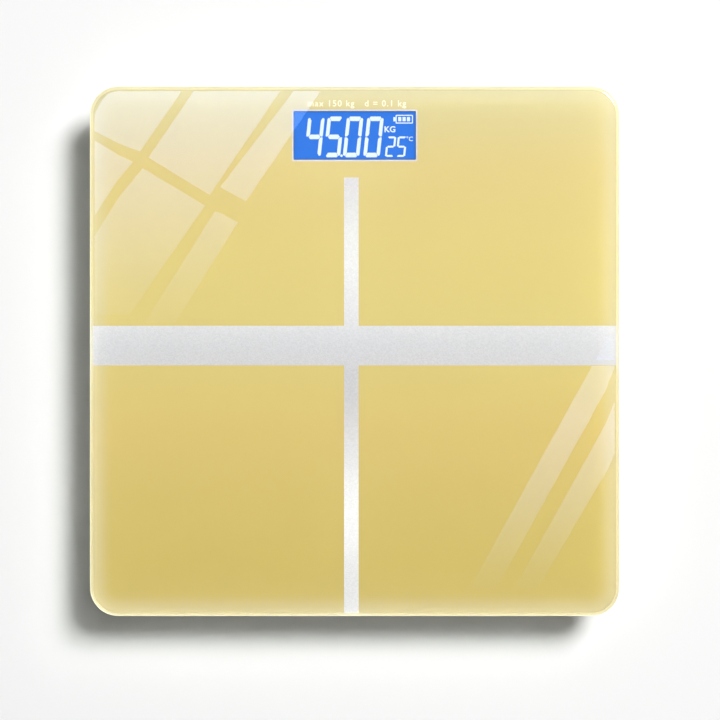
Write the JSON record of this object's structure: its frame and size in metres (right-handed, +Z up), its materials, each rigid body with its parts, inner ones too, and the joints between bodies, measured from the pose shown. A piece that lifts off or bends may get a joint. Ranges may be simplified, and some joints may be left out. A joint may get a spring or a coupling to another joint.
{
  "type": "digital bathroom scale",
  "caption": "Square glass-topped digital bathroom scale with a backlit display window, printed cross and round load cell feet.",
  "frame": {"origin": "on the floor, under the middle of the platform", "axes": "+Z up, +Y towards the display edge, +X to the right of a person who stands on it and reads it"},
  "size_m": [0.26, 0.26, 0.025],
  "materials": {
    "clear_glass": "polished tempered glass, 6 mm, clear with a faint green edge",
    "yellow_print": "warm yellow enamel ink printed on the back of the glass, slightly darker towards the front edge",
    "silver_print": "fine glitter silver ink printed on the back of the glass",
    "foam_tape": "white double-sided foam tape",
    "white_abs": "fine-textured moulded white ABS",
    "foot_abs": "moulded light grey ABS",
    "pad_rubber": "soft grey non-slip TPE",
    "cell_steel": "stamped and tumbled spring steel, nickel plated",
    "gauge_sealant": "white silicone sealant over the gauge",
    "bridge_abs": "glass-filled black nylon",
    "screw_steel": "zinc-plated steel",
    "wire_pvc_red": "PVC insulated hook-up wire",
    "wire_pvc_white": "PVC insulated hook-up wire",
    "lcd_glass": "thin LCD glass",
    "polarizer_film": "blue transmissive polarizing film, lit from behind",
    "light_guide_acrylic": "clear acrylic lit blue from its ends",
    "reflector_film": "white reflector film",
    "led_package": "side-firing lamp in a white package",
    "frame_plastic": "moulded white polycarbonate",
    "tinned_copper": "tinned copper",
    "gasket_foam": "black closed-cell foam",
    "fr4_green": "glass-epoxy laminate with green solder mask",
    "black_resin": "black epoxy drop",
    "smd_parts": "tan ceramic and black chip parts",
    "thermistor_resin": "black epoxy bead",
    "button_abs": "moulded grey ABS",
    "switch_black": "black thermoplastic with a tinned cover",
    "plunger_nylon": "natural nylon",
    "battery_wrap": "dark printed sleeve over a metal can, copper-coloured band at the nub end",
    "contact_nickel": "nickel-plated spring steel"
  },
  "bodies": {
    "scale_base": {"glass_platform": "clear_glass", "colour_print": "yellow_print", "silver_print": "silver_print", "platform_adhesive": "foam_tape", "base_shell": "white_abs", "bridge_screws": "screw_steel", "lcd_front_glass": "lcd_glass", "lcd_rear_glass": "lcd_glass", "lcd_polarizers": "polarizer_film", "backlight_guide": "light_guide_acrylic", "backlight_reflector": "reflector_film", "backlight_leds": "led_package", "lcd_frame": "frame_plastic", "lcd_pins": "tinned_copper", "lcd_gasket": "gasket_foam", "main_pcb": "fr4_green", "pcb_screws": "screw_steel", "controller_chip": "black_resin", "pcb_components": "smd_parts", "temperature_sensor": "thermistor_resin", "unit_switch": "switch_black", "battery_1": "battery_wrap", "battery_2": "battery_wrap", "battery_springs": "contact_nickel", "battery_contacts": "contact_nickel", "battery_leads": "wire_pvc_red", "load_bridge_front_left": "bridge_abs", "load_cell_wires_front_left": "wire_pvc_white", "load_bridge_front_right": "bridge_abs", "load_cell_wires_front_right": "wire_pvc_white", "load_bridge_rear_left": "bridge_abs", "load_cell_wires_rear_left": "wire_pvc_white", "load_bridge_rear_right": "bridge_abs", "load_cell_wires_rear_right": "wire_pvc_white"},
    "battery_door": {"battery_door": "white_abs"},
    "unit_button": {"unit_button": "button_abs", "switch_plunger": "plunger_nylon"},
    "foot_front_left": {"foot_cup_front_left": "foot_abs", "foot_pad_front_left": "pad_rubber", "load_cell_front_left": "cell_steel", "strain_gauge_front_left": "gauge_sealant"},
    "foot_front_right": {"foot_cup_front_right": "foot_abs", "foot_pad_front_right": "pad_rubber", "load_cell_front_right": "cell_steel", "strain_gauge_front_right": "gauge_sealant"},
    "foot_rear_left": {"foot_cup_rear_left": "foot_abs", "foot_pad_rear_left": "pad_rubber", "load_cell_rear_left": "cell_steel", "strain_gauge_rear_left": "gauge_sealant"},
    "foot_rear_right": {"foot_cup_rear_right": "foot_abs", "foot_pad_rear_right": "pad_rubber", "load_cell_rear_right": "cell_steel", "strain_gauge_rear_right": "gauge_sealant"}
  },
  "joints": [
    {"name": "foot_float_front_left", "type": "slide", "parent": "scale_base", "child": "foot_front_left", "axis": [0, 0, 1], "range_m": [-0.0007, 0]},
    {"name": "foot_float_front_right", "type": "slide", "parent": "scale_base", "child": "foot_front_right", "axis": [0, 0, 1], "range_m": [-0.0007, 0]},
    {"name": "foot_float_rear_left", "type": "slide", "parent": "scale_base", "child": "foot_rear_left", "axis": [0, 0, 1], "range_m": [-0.0007, 0]},
    {"name": "foot_float_rear_right", "type": "slide", "parent": "scale_base", "child": "foot_rear_right", "axis": [0, 0, 1], "range_m": [-0.0007, 0]},
    {"name": "battery_door_hinge", "type": "hinge", "parent": "scale_base", "child": "battery_door", "pos_m": [0, 0.05665, 0.0051], "axis": [1, 0, 0], "range_deg": [0, 60]},
    {"name": "unit_button_press", "type": "slide", "parent": "scale_base", "child": "unit_button", "axis": [0, 0, 1], "range_m": [0, 0.0003], "stiffness_N_per_m": 800, "springref_m": -0.001}
  ]
}
